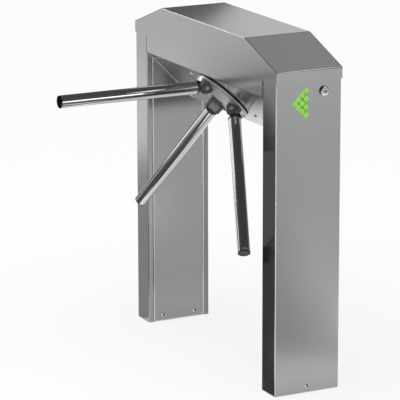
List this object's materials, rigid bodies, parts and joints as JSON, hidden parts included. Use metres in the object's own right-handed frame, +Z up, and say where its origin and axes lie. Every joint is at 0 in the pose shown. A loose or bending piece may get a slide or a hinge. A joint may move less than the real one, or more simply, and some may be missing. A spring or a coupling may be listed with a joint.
{
  "type": "tripod turnstile",
  "caption": "Bridge-shaped entrance turnstile: two legs, a lift-off lid and a slanted hub with folding arms that turn to let one person through at a time.",
  "frame": {"origin": "on the floor, centre of the four floor anchor holes, under the middle of the housing", "axes": "+X along the housing towards the end with the lock, +Y towards the back, -Y the side the arms reach to, +Z up"},
  "size_m": [0.9285, 0.6808, 1.03],
  "materials": {
    "stainless": "fine brushed, satin",
    "bright_screw": "bright turned",
    "chrome": "polished",
    "dark_cap": "satin moulded",
    "hub_grey": "satin turned",
    "dark_metal": "dark satin coating",
    "zinc_steel": "zinc plated",
    "cast_aluminium": "as cast",
    "brass": "machined",
    "black_plastic": "moulded",
    "rubber": "matt",
    "green_lens": "lit, glossy",
    "circuit_board": "lacquered",
    "coil": "taped coil in a steel frame",
    "supply_box": "plain"
  },
  "bodies": {
    "housing": {"bearing_housing": "cast_aluminium", "bridge_bolts": "bright_screw", "bridge_casing": "stainless", "cable_grommets": "rubber", "control_board": "circuit_board", "damper_body": "cast_aluminium", "foot_screws": "bright_screw", "front_bearing": "zinc_steel", "indicator_boards": "circuit_board", "left_foot": "zinc_steel", "left_indicator_lens": "green_lens", "left_inner_panel": "stainless", "left_leg_shell": "stainless", "lid_buffers": "rubber", "lock_body": "chrome", "lock_nut": "zinc_steel", "mechanism_plate": "zinc_steel", "panel_screws": "bright_screw", "pawl_pivots": "zinc_steel", "plate_standoffs": "zinc_steel", "power_supply": "supply_box", "rear_bearing": "zinc_steel", "rear_plate": "zinc_steel", "right_foot": "zinc_steel", "right_indicator_lens": "green_lens", "right_inner_panel": "stainless", "right_leg_shell": "stainless", "solenoids": "coil", "turn_sensor": "black_plastic"},
    "lid": {"lid": "stainless", "lid_keeper": "bright_screw"},
    "lock_barrel": {"lock_plug": "chrome", "lock_cam": "zinc_steel"},
    "rotor": {"shaft": "zinc_steel", "hub": "hub_grey", "hub_skirt": "black_plastic", "hub_cap": "chrome", "clevis_1": "dark_metal", "clevis_2": "dark_metal", "clevis_3": "dark_metal", "clevis_pins": "bright_screw", "lock_wheel": "zinc_steel", "shaft_gear": "zinc_steel", "code_disc": "black_plastic"},
    "arm_1": {"arm_tongue_1": "chrome", "arm_tube_1": "chrome", "arm_cap_1": "dark_cap"},
    "arm_2": {"arm_tongue_2": "chrome", "arm_tube_2": "chrome", "arm_cap_2": "dark_cap"},
    "arm_3": {"arm_tongue_3": "chrome", "arm_tube_3": "chrome", "arm_cap_3": "dark_cap"},
    "right_pawl": {"right_pawl": "zinc_steel"},
    "left_pawl": {"left_pawl": "zinc_steel"},
    "right_plunger": {"right_plunger": "zinc_steel"},
    "left_plunger": {"left_plunger": "zinc_steel"},
    "damper_pinion": {"damper_pinion": "brass"}
  },
  "joints": [
    {"name": "rotor_spin", "type": "hinge", "parent": "housing", "child": "rotor", "pos_m": [0, -0.03706, 0.80506], "axis": [0, -0.7071, -0.7071], "continuous": true},
    {"name": "arm_1_fold", "type": "hinge", "parent": "rotor", "child": "arm_1", "pos_m": [0, -0.10353, 0.83546], "axis": [1, 0, 0], "range_deg": [0, 90]},
    {"name": "arm_2_fold", "type": "hinge", "parent": "rotor", "child": "arm_2", "pos_m": [-0.05932, -0.03087, 0.76281], "axis": [-0.5, -0.6124, 0.6124], "range_deg": [0, 45]},
    {"name": "arm_3_fold", "type": "hinge", "parent": "rotor", "child": "arm_3", "pos_m": [0.05932, -0.03087, 0.76281], "axis": [-0.5, 0.6124, -0.6124], "range_deg": [0, 45]},
    {"name": "lid_lift", "type": "slide", "parent": "housing", "child": "lid", "axis": [0, 0, 1], "range_m": [0, 0.12]},
    {"name": "lock_turn", "type": "hinge", "parent": "housing", "child": "lock_barrel", "pos_m": [0.458, 0.0495, 0.8945], "axis": [1, 0, 0], "range_deg": [0, 90]},
    {"name": "right_pawl_swing", "type": "hinge", "parent": "housing", "child": "right_pawl", "pos_m": [0.06, -0.04413, 0.8885], "axis": [0, -0.7071, -0.7071], "range_deg": [0, 11], "stiffness_Nm_per_rad": 0.5, "springref_deg": -11.46},
    {"name": "left_pawl_swing", "type": "hinge", "parent": "housing", "child": "left_pawl", "pos_m": [-0.06, -0.04413, 0.8885], "axis": [0, 0.7071, 0.7071], "range_deg": [0, 11], "stiffness_Nm_per_rad": 0.5, "springref_deg": -11.46},
    {"name": "right_plunger_slide", "type": "slide", "parent": "housing", "child": "right_plunger", "axis": [0, -0.7071, 0.7071], "range_m": [0, 0.0052]},
    {"name": "left_plunger_slide", "type": "slide", "parent": "housing", "child": "left_plunger", "axis": [0, -0.7071, 0.7071], "range_m": [0, 0.0052]},
    {"name": "damper_spin", "type": "hinge", "parent": "housing", "child": "damper_pinion", "pos_m": [-0.04503, 0.00678, 0.88567], "axis": [0, -0.7071, -0.7071], "continuous": true}
  ],
  "couplings": [
    {"joint": "damper_spin", "follows": "rotor_spin", "ratio": -1.6},
    {"joint": "right_plunger_slide", "follows": "right_pawl_swing", "m_per_rad": 0.026},
    {"joint": "left_plunger_slide", "follows": "left_pawl_swing", "m_per_rad": 0.026}
  ]
}
